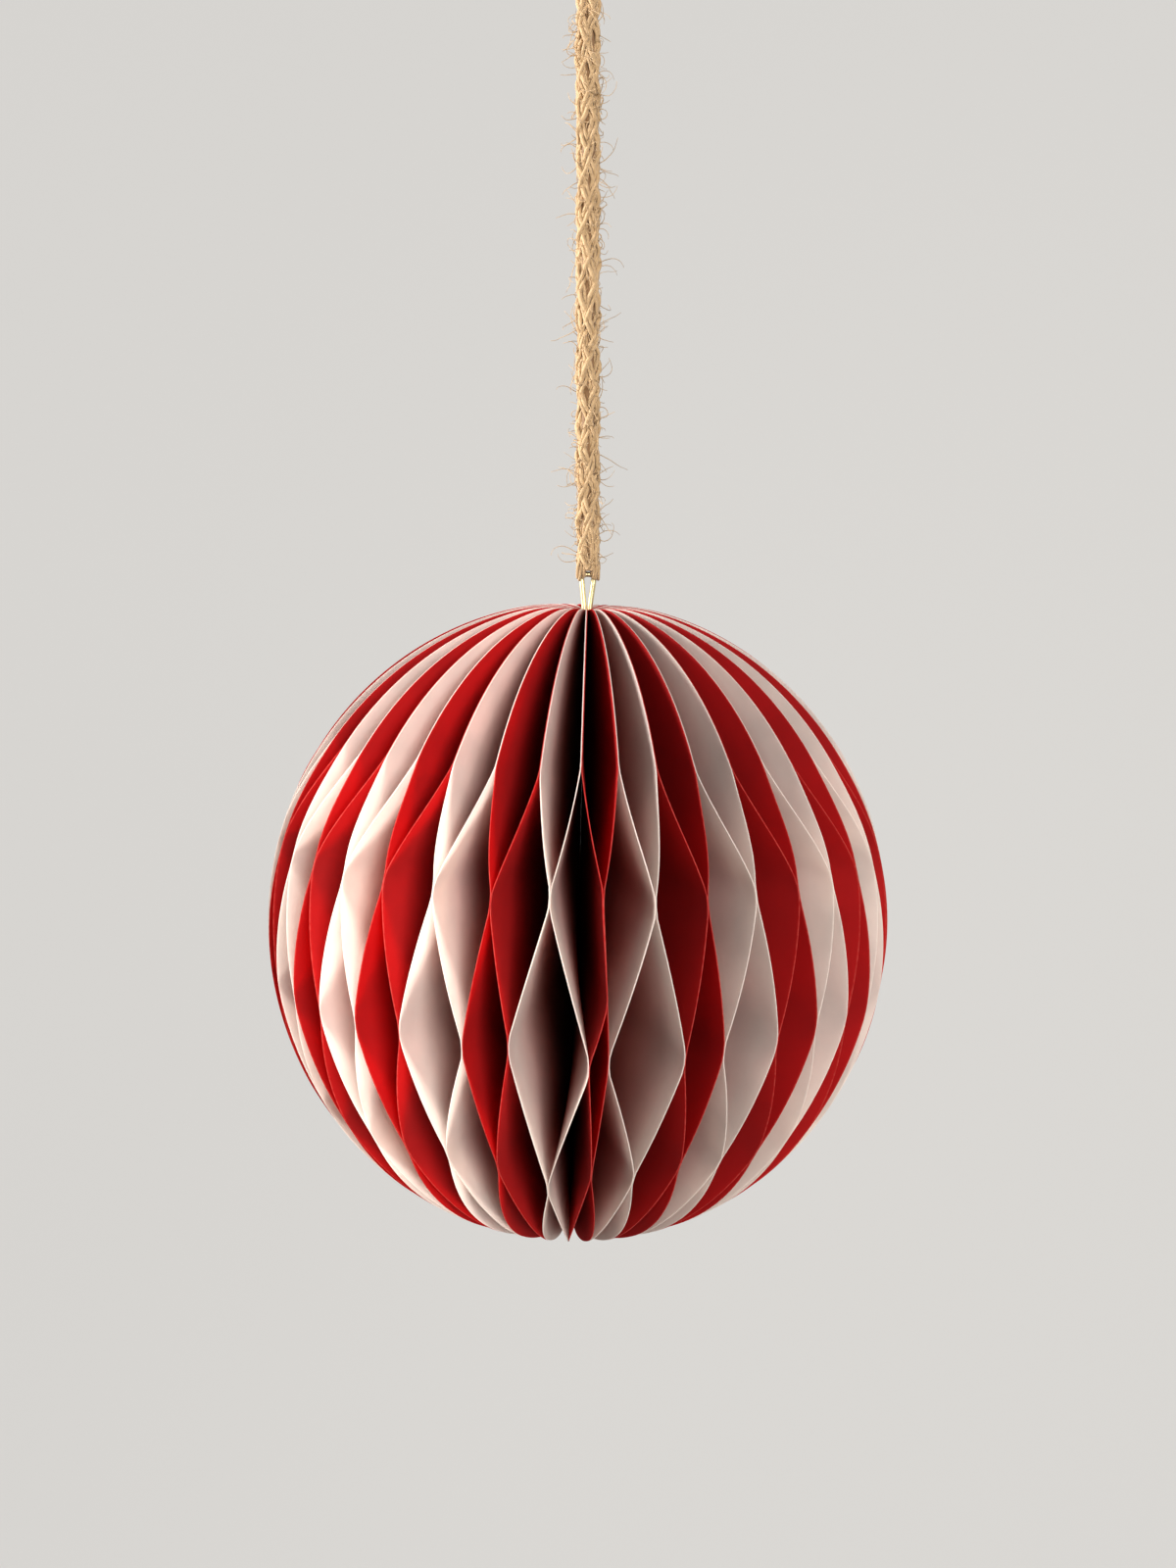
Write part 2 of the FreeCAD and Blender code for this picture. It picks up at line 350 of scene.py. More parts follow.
def paper_material(name, colour, deep, edge):
    """Matt paper with faint mottling, fine tooth, pale cut edges, some light through it, and
    painted shade deep in its cells.
    """
    material, nodes, links, output = new_material(name)
    mottle = object_noise(nodes, links, scale=60.0, detail=4.0)
    shade = ranged(nodes, links, mottle, low=0.35, high=0.65)
    base = mixed_colour(nodes, links, shaded(colour, 0.86), tuple(colour), shade)
    # Painted shade: from near the rim to half way to the fold the colour turns to the deep one.
    depth = attribute(nodes, "depth")
    painted_shade_share = ranged(nodes, links, depth, low=0.08, high=0.50)
    base = mixed_colour(nodes, links, base, tuple(deep), painted_shade_share)
    # Painted shade: past half way to the fold it darkens further, to near black at the fold.
    core = ranged(nodes, links, depth, low=0.5, high=0.95)
    base = mixed_colour(nodes, links, base, shaded(deep, 0.4), core)
    nicks = object_noise(nodes, links, scale=1100.0, detail=2.0)
    rough = ranged(nodes, links, nicks, low=0.36, high=0.60, to_low=0.35)
    worn = calculated(nodes, links, "MULTIPLY", attribute(nodes, "rim"), rough)
    body = mixed_colour(nodes, links, base, tuple(edge), worn)
    paper = nodes.new("ShaderNodeBsdfPrincipled")
    paper.inputs["Roughness"].default_value = 0.78
    paper.inputs["Specular IOR Level"].default_value = 0.25
    links.new(body, paper.inputs["Base Color"])
    tooth = object_noise(nodes, links, scale=2600.0, detail=3.0)
    add_bump(nodes, links, paper, tooth, strength=0.12, distance=0.0001)
    through = nodes.new("ShaderNodeBsdfTranslucent")
    links.new(body, through.inputs["Color"])
    lit = mixed_shader(nodes, links, PAPER_GLOW, paper.outputs["BSDF"], through.outputs["BSDF"])
    links.new(lit, output.inputs["Surface"])
    return material


def brass_material(name, colour):
    """Bright drawn brass with fine lengthwise scratches and a slight tarnish."""
    material, nodes, links, output = new_material(name)
    tarnish = object_noise(nodes, links, scale=350.0, detail=3.0)
    scratch = object_noise(nodes, links, scale=5000.0, detail=2.0, stretch=(1, 1, 0.05))
    shade = ranged(nodes, links, tarnish, low=0.4, high=0.7)
    base = mixed_colour(nodes, links, tuple(colour), shaded(colour, 0.72), shade)
    brass = nodes.new("ShaderNodeBsdfPrincipled")
    brass.inputs["Metallic"].default_value = 1.0
    links.new(base, brass.inputs["Base Color"])
    rough = ranged(nodes, links, scratch, low=0.3, high=0.7, to_low=0.24, to_high=0.42)
    links.new(rough, brass.inputs["Roughness"])
    add_bump(nodes, links, brass, scratch, strength=0.15, distance=0.00005)
    links.new(brass.outputs["BSDF"], output.inputs["Surface"])
    return material


def jute_material(name, straw, deep):
    """Jute: fine fibres that run along each strand, in random streaks of pale and deep straw."""
    material, nodes, links, output = new_material(name)
    lay = nodes.new("ShaderNodeUVMap")
    lay.uv_map = "lay"
    mapping = nodes.new("ShaderNodeMapping")
    mapping.inputs["Scale"].default_value = (9.0, 160.0, 1.0)
    noise = nodes.new("ShaderNodeTexNoise")
    noise.inputs["Scale"].default_value = 1.6
    noise.inputs["Detail"].default_value = 3.0
    links.new(lay.outputs["UV"], mapping.inputs["Vector"])
    links.new(mapping.outputs["Vector"], noise.inputs["Vector"])
    fibres = noise.outputs["Fac"]
    shade = ranged(nodes, links, fibres, low=0.36, high=0.58)
    jute = nodes.new("ShaderNodeBsdfPrincipled")
    jute.inputs["Roughness"].default_value = 0.62
    jute.inputs["Sheen Weight"].default_value = 0.25
    jute.inputs["Sheen Roughness"].default_value = 0.4
    colour = mixed_colour(nodes, links, tuple(deep), tuple(straw), shade)
    links.new(colour, jute.inputs["Base Color"])
    add_bump(nodes, links, jute, fibres, strength=0.6, distance=0.00012)
    links.new(jute.outputs["BSDF"], output.inputs["Surface"])
    return material


# The paper ball.


class Ball:
    """Works out where a sheet lies, as the solids have it, with smooth bends."""

    def __init__(self, paper, hanger):
        self.paper = paper
        self.count = paper.disc_count
        self.step = 2 * math.pi / self.count
        self.rows = list(paper.rows)
        self.half_spot = paper.spot_width / 2
        # Both halves of every disc stand side by side round the tube that the folds make.
        self.fold_radius = 2 * self.count * paper.layer / (2 * math.pi)
        self.end_radius = self.fold_radius + paper.pole_edge
        self.pole = self.rim_height(self.end_radius)
        self.eye_top = self.pole + hanger.eye_rise
        self.lean = hanger.lean
        # Height of the front red disc's spot in the third row.
        self.late_foot = self.rows[2] - FRONT_SAGS[2, 0]
        # The cord's foot is over the eye, so the ball's middle hangs this far down.
        self.middle = CORD_LOW.z - hanger.seat_gap - self.eye_top

    def rim_height(self, radius):
        full = self.paper.ball_half_height * np.sqrt(1 - (radius / self.paper.ball_radius) ** 2)
        return full - self.paper.hollow_depth * np.exp(-((radius / self.paper.hollow_radius) ** 2))

    def hang(self, points):
        """Moves points drawn round the ball's middle to where the ball hangs and leans."""
        points = np.asarray(points, float)
        x, y, z = points[..., 0], points[..., 1], points[..., 2] - self.eye_top
        turned_x = x * math.cos(self.lean) + z * math.sin(self.lean)
        turned_z = -x * math.sin(self.lean) + z * math.cos(self.lean)
        return np.stack([turned_x, y, turned_z + self.eye_top + self.middle], axis=-1)

    def seam_angle(self, place, radius, height):
        """Where a seam stands round the ball: even places, crowded to the front and turned."""
        even = place * self.step
        share = np.clip((height - self.rows[1]) / (self.rows[0] - self.rows[1]), 0, 1)
        share = share * share * (3 - 2 * share)
        crowd = self.paper.crowding * share * np.sin(even)
        around = (even - self.paper.hold_middle + math.pi) % (2 * math.pi) - math.pi
        turned = self.paper.turn * (1 - np.exp(-((around / self.paper.hold_reach) ** 2)))
        return even + (turned - crowd) * (1 - self.fold_radius / radius)

    def closing_angle(self, seam):
        """How far a seam leans at the third row, so that the front red disc stays nearly shut."""
        red_disc = seam if seam % 2 == 0 else seam - 1
        around = (red_disc + self.count / 2) % self.count - self.count / 2
        fade = math.exp(-((around / self.paper.closing_reach) ** 2))
        side = 1 if seam % 2 == 0 else -1
        return side * self.paper.closing / 2 * fade

    def strays(self):
        """How far each glue spot strays in height: one row of numbers for each glue row."""
        chance = np.random.default_rng(self.paper.seed)
        found = chance.uniform(-1, 1, (len(self.rows), self.count)) * self.paper.unevenness
        for (row, spot), sag in FRONT_SAGS.items():
            found[row, spot] = -sag
        return found

    def openness(self, disc, side, height, strays):
        """1 where this half lies against its neighbour, 0 where the disc is shut.

        The second result is 1 in the two spans that meet the third row.
        """
        neighbour = disc + (1 if side > 0 else 0)
        places = []
        for number, row in enumerate(self.rows):
            spot = neighbour if number % 2 == 0 else disc
            places.append(row + strays[number, spot % self.count])
        found = np.ones_like(height)
        near_third = np.zeros_like(height)
        for number in range(len(places) - 1):
            start = places[number] - self.half_spot
            end = places[number + 1] + self.half_spot
            share = np.clip((start - height) / (start - end), 0, 1)
            bend = self.bent(share)
            inside = height < start
            from_open = number % 2 == 0
            found = np.where(inside, 1 - bend if from_open else bend, found)
            near_third = np.where(inside, float(number in (1, 2)), near_third)
        return found, near_third

    def bent(self, share):
        """A straight run from 0 to 1 whose two ends bend over into the glue spots."""
        end = self.paper.end_bend
        slope = 1 / (1 - end)
        near = slope * share ** 2 / (2 * end)
        middle = slope * (share - end / 2)
        far = 1 - slope * (1 - share) ** 2 / (2 * end)
        return np.where(share < end, near, np.where(share > 1 - end, far, middle))

    def late_share(self, height):
        """0 while the front red disc's halves lie together under the second row, then up to 1."""
        start = self.rows[1] - self.half_spot
        end = self.late_foot + self.half_spot
        share = np.clip((start - height) / (start - end), 0, 1)
        late = self.paper.late_opening
        return self.bent(np.clip((share - late) / (1 - late), 0, 1))

    def radius_at(self, height):
        share = height / self.paper.ball_half_height
        return self.paper.ball_radius * math.sqrt(1 - share ** 2)

    def fold_height(self, radius, rim):
        """Where a sheet meets its fold: level with its rim, but spread out near the poles."""
        upper = self.rows[0] + self.half_spot
        lower = self.rows[4] + self.half_spot
        above = self.pole + (upper - self.pole) * (radius / self.radius_at(upper)) ** 2
        below = -self.pole + (lower + self.pole) * (radius / self.radius_at(lower)) ** 2
        return np.where(rim > upper, above, np.where(rim < lower, below, rim))

    def leaf_points(self, disc, across, down, strays):
        """Points of one folded disc. across runs -1, 0, 1 from rim to fold to rim; down 0 to 1."""
        steepest = math.acos(self.end_radius / self.paper.ball_radius)
        tilt = steepest * (1 - 2 * down)
        radius = self.paper.ball_radius * np.cos(tilt)
        rim = np.sign(tilt) * self.rim_height(radius)
        fold = self.fold_height(radius, rim)
        points = np.zeros((*across.shape, 3))
        for side in (-1, 1):
            here = np.sign(across) == side
            openness, near_third = self.openness(disc, side, fold, strays)
            neighbour = disc + (1 if side > 0 else 0)
            shut = self.seam_angle(disc + 0.5, radius, rim)
            opened = self.seam_angle(neighbour, radius, rim)
            opened = opened + self.closing_angle(neighbour) * near_third
            rim_angle = shut + (opened - shut) * openness
            if disc == 0 and side < 0:
                other, _ = self.openness(disc, 1, fold, strays)
                right = self.seam_angle(1, radius, rim) + self.closing_angle(1)
                together = shut + (right - shut) * other
                below = (fold < self.rows[1]) & (fold > self.late_foot)
                late = self.late_share(fold)
                rim_angle = np.where(below, together + (opened - together) * late, rim_angle)
            fold_angle = (disc + 0.5 + side * 0.25) * self.step
            shift = side * (1 - 2 * openness) * self.paper.sheet / 2 * SHEET_SPACING
            rim_x = radius * np.sin(rim_angle) + shift * np.cos(rim_angle)
            rim_y = -radius * np.cos(rim_angle) + shift * np.sin(rim_angle)
            fold_x = self.fold_radius * math.sin(fold_angle)
            fold_y = -self.fold_radius * math.cos(fold_angle)
            share = np.abs(across)
            x = fold_x + (rim_x - fold_x) * share
            y = fold_y + (rim_y - fold_y) * share
            z = fold + (rim - fold) * share
            half = np.stack([x, y, z], axis=-1)
            points = np.where(here[..., None], half, points)
        crease_angle = (disc + 0.5) * self.step
        crease_radius = self.fold_radius - self.paper.layer / 2
        crease = np.stack(
            [
                np.full_like(fold, crease_radius * math.sin(crease_angle)),
                np.full_like(fold, -crease_radius * math.cos(crease_angle)),
                fold,
            ],
            axis=-1,
        )
        return np.where((across == 0)[..., None], crease, points)


def make_leaf(ball, disc, strays, down_count, material):
    """One folded disc: a grid laid into its waves, then given the paper's thickness."""
    columns = [-(1 - share) for share in COLUMN_SHARES[:-1]]
    columns += [-CREASE_SHARE, 0.0, CREASE_SHARE]
    columns += [1 - share for share in reversed(COLUMN_SHARES[:-1])]
    deselect_all()
    bpy.ops.mesh.primitive_grid_add(
        x_subdivisions=len(columns) - 1, y_subdivisions=down_count, size=2, location=(0, 0, 0)
    )
    leaf = bpy.context.object
    mesh = leaf.data
    flat = np.zeros(len(mesh.vertices) * 3)
    mesh.vertices.foreach_get("co", flat)
    flat = flat.reshape(-1, 3)
    number = np.rint((flat[:, 0] + 1) / 2 * (len(columns) - 1)).astype(int)
    across = np.array(columns)[number]
    down = (1 - flat[:, 1]) / 2
    points = ball.hang(ball.leaf_points(disc, across, down, strays))
    mesh.vertices.foreach_set("co", points.ravel())
    rim = mesh.attributes.new("rim", "FLOAT", "POINT")
    worn = np.clip(1 - (1 - np.abs(across)) / COLUMN_SHARES[2], 0, 1)
    rim.data.foreach_set("value", worn)
    # How deep in its cell each point lies; the paper's painted shade follows it.
    depth = mesh.attributes.new("depth", "FLOAT", "POINT")
    depth.data.foreach_set("value", 1 - np.abs(across))
    plain = leaf.vertex_groups.new(name="plain")
    for index, value in enumerate(np.clip((np.abs(across) - CREASE_END) / CREASE_FADE, 0, 1)):
        plain.add([index], float(value), "REPLACE")
    mesh.update()
    mesh.materials.append(material)
    wall = leaf.modifiers.new("paper", "SOLIDIFY")
    wall.thickness = ball.paper.sheet
    wall.offset = 0
    wall.vertex_group = "plain"
    wall.thickness_vertex_group = CREASE_THICKNESS
    bpy.ops.object.modifier_apply(modifier=wall.name)
    leaf.vertex_groups.clear()
    bpy.ops.object.shade_smooth_by_angle(angle=SMOOTH_ANGLE)
    return leaf


class PAPERBALL_OT_leaves(bpy.types.Operator):
    """Folds every paper disc and sets it into the ball"""

    bl_idname = "paperball.leaves"
    bl_label = "Fold the discs"
    bl_options = {"REGISTER", "UNDO"}

    def execute(self, context):
        paper = context.scene.paperball_paper
        ball = Ball(paper, context.scene.paperball_hanger)
        strays = ball.strays()
        red = paper_material("red_paper", paper.red, paper.red_painted_shade, paper.red_edge)
        white = paper_material("white_paper", paper.white, paper.white_painted_pink_shade, paper.white_edge)
        rows = FULL_ROWS
        for disc in range(ball.count):
            colour, material = ("red", red) if disc % 2 == 0 else ("white", white)
            number = f"{disc // 2 + 1:02d}"
            leaf = make_leaf(ball, disc, strays, rows, material)
            finish_piece(
                leaf, f"{colour}_leaf_{number}", f"{colour}_paper", f"{colour}_disc_{number}"
            )
        return {"FINISHED"}


class PAPERBALL_OT_wire(bpy.types.Operator):
    """Bends the brass wire into its eye and two legs"""

    bl_idname = "paperball.wire"
    bl_label = "Bend the wire"
    bl_options = {"REGISTER", "UNDO"}

    def execute(self, context):
        hanger = context.scene.paperball_hanger
        ball = Ball(context.scene.paperball_paper, hanger)
        top = ball.eye_top - hanger.wire_radius
        eye = hanger.eye_radius
        throat_below, throat_above, shoulder = 0.0015, 0.0005, eye * 1.1
        side = [
            (hanger.leg_place, hanger.leg_end),
            (hanger.throat, ball.pole - throat_below),
            (hanger.throat, ball.pole + throat_above),
            (eye, top - shoulder),
            (eye, top),
        ]
        line = side + [(-x, z) for x, z in reversed(side)]
        deselect_all()
        bpy.ops.curve.primitive_nurbs_path_add()
        wire = bpy.context.object
        wire.data.splines.clear()
        spline = wire.data.splines.new("NURBS")
        spline.points.add(len(line) - 1)
        for point, (x, z) in zip(spline.points, line):
            place = ball.hang((x, 0, z))
            point.co = (*place, 1)
        spline.order_u = 3
        spline.use_endpoint_u = True
        spline.resolution_u = 12
        wire.data.bevel_depth = hanger.wire_radius
        wire.data.bevel_resolution = 4
        wire.data.use_fill_caps = True
        bpy.ops.object.convert(target="MESH")
        wire = bpy.context.object
        wire.data.transform(wire.matrix_world)
        wire.matrix_world.identity()
        bpy.ops.object.shade_smooth_by_angle(angle=SMOOTH_ANGLE)
        wire.data.materials.append(brass_material("brass", hanger.brass))
        finish_piece(wire, "brass_wire", "brass_wire", "hanger_wire")
        return {"FINISHED"}


# The cord.


def route_points(low, high):
    """Points read from the cord's own line, which runs straight from low to high."""
    curve = bpy.data.curves.new("cord_route", "CURVE")
    curve.dimensions = "3D"
    spline = curve.splines.new("NURBS")
    ends = [low, (low + high) / 2, high]
    spline.points.add(len(ends) - 1)
    for point, place in zip(spline.points, ends):
        point.co = (*place, 1)
    spline.order_u = 3
    spline.use_endpoint_u = True
    spline.resolution_u = 90
    route = bpy.data.objects.new("cord_route", curve)
    bpy.context.scene.collection.objects.link(route)
    bpy.context.view_layer.update()
    graph = bpy.context.evaluated_depsgraph_get()
    mesh = bpy.data.meshes.new_from_object(route.evaluated_get(graph))
    points = np.array([vertex.co for vertex in mesh.vertices])
    bpy.data.meshes.remove(mesh)
    bpy.data.objects.remove(route)
    return points


def run_along(points):
    """How far along a line each of its points is."""
    steps = np.linalg.norm(np.diff(points, axis=0), axis=1)
    return np.concatenate([[0], np.cumsum(steps)])


def frames_along(points):
    """Two directions across a line at each of its points, turned as little as possible."""
    ahead = np.gradient(points, axis=0)
    ahead /= np.linalg.norm(ahead, axis=1)[:, None]
    first = np.cross(ahead[0], (0.0, 1.0, 0.0))
    if np.linalg.norm(first) < 0.1:
        first = np.cross(ahead[0], (1.0, 0.0, 0.0))
    across = [first / np.linalg.norm(first)]
    for direction in ahead[1:]:
        kept = across[-1] - direction * np.dot(across[-1], direction)
        across.append(kept / np.linalg.norm(kept))
    across = np.array(across)
    return across, np.cross(ahead, across)


def tubes(name, lines, sides):
    """One mesh of round tubes with closed ends. Each line is (points, radii)."""
    vertices, faces, lay = [], [], []
    for points, radii in lines:
        first, second = frames_along(points)
        run = run_along(points)
        start = len(vertices)
        for number, point in enumerate(points):
            for corner in range(sides):
                angle = 2 * math.pi * corner / sides
                out = first[number] * math.cos(angle) + second[number] * math.sin(angle)
                vertices.append(point + out * radii[number])
        count = len(points)
        for ring in range(count - 1):
            for corner in range(sides):
                after = (corner + 1) % sides
                here = start + ring * sides
                there = here + sides
                faces.append((here + corner, here + after, there + after, there + corner))
                u = corner / sides
                w = (corner + 1) / sides
                v = run[ring] * LAY_SCALE
                x = run[ring + 1] * LAY_SCALE
                lay += [(v, u), (v, w), (x, w), (x, u)]
        faces.append(tuple(start + corner for corner in reversed(range(sides))))
        lay += [(0, 0)] * sides
        last = start + (count - 1) * sides
        faces.append(tuple(last + corner for corner in range(sides)))
        lay += [(0, 0)] * sides
    mesh = bpy.data.meshes.new(name)
    mesh.from_pydata([tuple(v) for v in vertices], [], faces)
    layer = mesh.uv_layers.new(name="lay")
    layer.data.foreach_set("uv", np.array(lay, float).ravel())
    mesh.shade_smooth()
    mesh.update()
    piece = bpy.data.objects.new(name, mesh)
    bpy.context.scene.collection.objects.link(piece)
    return piece


def jute_piece(name, lines, sides, material, *nodes):
    piece = tubes(name, lines, sides)
    piece.data.materials.append(material)
    return finish_piece(piece, name, "jute", *nodes)


def braid(points, cord, radius, chance):
    """Strands that run round a line both ways and pass over and under each other."""
    first, second = frames_along(points)
    run = run_along(points)
    lines = []
    each_way = cord.strand_count // 2
    middle = radius - cord.strand_radius * STRAND_SINK
    wave = radius * STRAND_RISE
    for strand in range(cord.strand_count):
        way = 1 if strand % 2 == 0 else -1
        phase = (strand // 2) * 2 * math.pi / each_way
        sway = chance.uniform(0, 2 * math.pi, 3)
        stray = sum(
            amount * np.sin(run / length + start)
            for (amount, length), start in zip(STRAYS, sway)
        )
        angle = way * 2 * math.pi * run / cord.pitch + phase + stray
        out = middle + way * wave * np.cos(2 * math.pi * each_way * 2 * run / cord.pitch)
        places = points + first * (out * np.cos(angle))[:, None]
        places = places + second * (out * np.sin(angle))[:, None]
        radii = cord.strand_radius * (1 + SWELL[0] * np.sin(run / SWELL[1] + sway[2]))
        lines += yarns(places, radii, way, sway[0])
    return lines


def yarns(places, radii, way, start):
    """A strand is three yarns that twist round each other."""
    first, second = frames_along(places)
    run = run_along(places)
    lines = []
    for yarn in range(YARN_COUNT):
        angle = start + way * run / YARN_TURN + yarn * 2 * math.pi / YARN_COUNT
        off = (radii * YARN_PLACE)[:, None]
        shifted = places + off * (first * np.cos(angle)[:, None] + second * np.sin(angle)[:, None])
        lines.append((shifted, radii * (YARN_RADIUS + YARN_STEP * yarn)))
    return lines


def resampled(points, count):
    run = run_along(points)
    spots = np.linspace(0, run[-1], count)
    return np.stack([np.interp(spots, run, points[:, axis]) for axis in range(3)], axis=1)


class PAPERBALL_OT_cord(bpy.types.Operator):
    """Lays the jute strands, their end round the wire and the stray fibres"""

    bl_idname = "paperball.cord"
    bl_label = "Lay the cord"
    bl_options = {"REGISTER", "UNDO"}

    def execute(self, context):
        cord = context.scene.paperball_cord
        chance = np.random.default_rng(cord.seed)
        middle_x = (CORD_LOW.x + CORD_HIGH.x) / 2
        middle_y = (CORD_LOW.y + CORD_HIGH.y) / 2
        radius = (CORD_HIGH.x - CORD_LOW.x) / 2
        foot = Vector((middle_x, middle_y, CORD_LOW.z))
        head = Vector((middle_x, middle_y, CORD_HIGH.z))
        route = route_points(foot, head)
        line = resampled(route_points(foot, head + Vector((0, 0, INTO_KNOT))), 170)
        jute = jute_material("jute", cord.straw, cord.deep_straw)
        lines = braid(line, cord, radius, chance)
        strands = jute_piece("jute_strands", lines, 8, jute, "jute_cord")
        # Painted shade: the core, seen in the gaps of the braid, is coloured far darker than the
        # strands.
        inside = jute_material("jute_inside_painted_shade", cord.deep_straw, shaded(cord.deep_straw, 0.4))
        lines = [(line, np.full(len(line), radius * CORE_SHARE))]
        core = jute_piece("jute_core", lines, 10, inside)
        ends = self.make_lobes(foot, radius, cord, jute)
        fibres = self.make_fibres(line, radius, cord, chance, jute)
        self.declare(strands, foot, head, radius, route, [core, ends, fibres])
        return {"FINISHED"}

    def lobe_points(self, place, reach):
        """A lobe's line: down in front, under the wire and up again behind."""
        x = place * MILLIMETRE
        low = 0.0014
        rise, drop = (0.0062, 0.0016) if abs(place) > 1 else (0.0052, 0.0013)
        heights = np.linspace(rise, low, 8)
        flare = heights / rise
        down = np.stack(
            [x * (0.55 + 0.45 * (1 - flare)), -reach * (0.86 + 0.14 * flare), heights], axis=1
        )
        turn = np.linspace(0, math.pi, 15)[1:-1]
        under_y = -reach * 0.86 * np.cos(turn)
        under_z = low - (low + drop) * np.sin(turn)
        under = np.stack([np.full_like(turn, x), under_y, under_z], axis=1)
        up = down[::-1] * (1, -1, 1)
        return np.concatenate([down, under, up])

    def make_lobes(self, foot, radius, cord, jute):
        """The strands turn under in two lobes, one round each side of the wire eye."""
        lines = []
        reach = radius - cord.strand_radius * 1.05
        for place in LOBES:
            points = resampled(self.lobe_points(place, reach) + np.array(foot), 80)
            radii = np.full(len(points), cord.strand_radius * 0.72)
            lines += yarns(points, radii, 1, place)
        return jute_piece("jute_end", lines, 8, jute)

    def make_fibres(self, line, radius, cord, chance, jute):
        """Thin curly fibres that stand off the cord all round."""
        lines = []
        first, second = frames_along(line)
        for _ in range(cord.fibre_count):
            spot = chance.integers(2, len(line) - 2)
            angle = chance.uniform(0, 2 * math.pi)
            out = first[spot] * math.cos(angle) + second[spot] * math.sin(angle)
            ahead = np.array((0, 0, chance.choice((-1, 1)) * chance.uniform(*FIBRE_SLOPES)))
            heading = out + ahead + chance.normal(0, 0.25, 3)
            heading /= np.linalg.norm(heading)
            curl = np.cross(heading, chance.normal(0, 1, 3))
            bend = chance.uniform(*FIBRE_CURLS)
            place = line[spot] + out * radius * 0.86
            step = chance.uniform(*FIBRE_LENGTHS) / FIBRE_STEPS
            points = [place]
            for _ in range(FIBRE_STEPS):
                turned = heading + np.cross(curl, heading) * bend * step
                heading = turned + chance.normal(0, 0.14, 3)
                heading /= np.linalg.norm(heading)
                place = place + heading * step
                points.append(place)
            radii = cord.fibre_radius * np.linspace(1.0, 0.45, len(points))
            lines.append((np.array(points), radii))
        return jute_piece("jute_fibres", lines, 4, jute)

    def declare(self, strands, foot, head, radius, route, pieces):
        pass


class PAPERBALL_OT_knot(bpy.types.Operator):
    """Ties the knot over the cord and leaves its short frayed tail"""

    bl_idname = "paperball.knot"
    bl_label = "Tie the knot"
    bl_options = {"REGISTER", "UNDO"}

    def execute(self, context):
        cord = context.scene.paperball_cord
        chance = np.random.default_rng(cord.seed + 1)
        jute = jute_material("jute_knot", cord.straw, cord.deep_straw)
        outer = (KNOT_HIGH.x - KNOT_LOW.x) / 2
        cord_radius = (CORD_HIGH.x - CORD_LOW.x) / 2
        wrap = cord_radius * KNOT_WRAP
        turn = np.linspace(0, 1, 90)
        angle = 2 * math.pi * KNOT_TURNS * turn
        ring = (outer - wrap) * np.clip(np.minimum(turn, 1 - turn) / KNOT_ENDS, 0.2, 1)
        height = KNOT_LOW.z + wrap + (KNOT_HIGH.z - KNOT_LOW.z - 2 * wrap) * turn
        points = np.stack([ring * np.cos(angle), ring * np.sin(angle), height], axis=1)
        lines = braid(points, cord, wrap, chance)
        lines.append((points, np.full(len(points), wrap * KNOT_FILLING)))
        jute_piece("jute_knot", lines, 10, jute, "cord_knot")
        self.make_tail(cord, cord_radius, chance, jute)
        return {"FINISHED"}

    def make_tail(self, cord, radius, chance, jute):
        """The strands come loose towards the tail's end."""
        lines = []
        low, high = TAIL_LOW.z - TAIL_START, TAIL_HIGH.z
        for strand in range(TAIL_STRANDS):
            angle = 2 * math.pi * strand * GOLDEN_SHARE
            inner = radius * 0.85 * math.sqrt((strand + 0.5) / TAIL_STRANDS)
            loose = chance.uniform(0.9, 1.5)
            tip = high - chance.uniform(0.0, 0.0016)
            rise = np.linspace(0, 1, 14)
            spread = inner * (0.85 + (loose - 0.85) * rise ** 2)
            swirl = angle + rise * 1.1 + 0.2 * np.sin(rise * 5 + strand)
            points = np.stack(
                [spread * np.cos(swirl), spread * np.sin(swirl), low + (tip - low) * rise], axis=1
            )
            radii = cord.strand_radius * np.linspace(0.62, 0.30, len(points))
            lines.append((points, radii))
        jute_piece("jute_tail", lines, 8, jute, "cord_tail")


# Camera, lamps and backdrop.


class PAPERBALL_OT_camera(bpy.types.Operator):
    """Puts the camera where the photograph was taken from"""

    bl_idname = "paperball.camera"
    bl_label = "Place the camera"
    bl_options = {"REGISTER", "UNDO"}

    def execute(self, context):
        stage = context.scene.paperball_stage
        data = bpy.data.cameras.new("camera")
        data.lens = stage.lens
        data.sensor_width = 36
        data.clip_start = 0.01
        camera = bpy.data.objects.new("camera", data)
        context.scene.collection.objects.link(camera)
        camera.location = stage.camera_place
        camera.rotation_euler = (math.pi / 2 - stage.camera_dip, 0, 0)
        context.scene.camera = camera
        return {"FINISHED"}


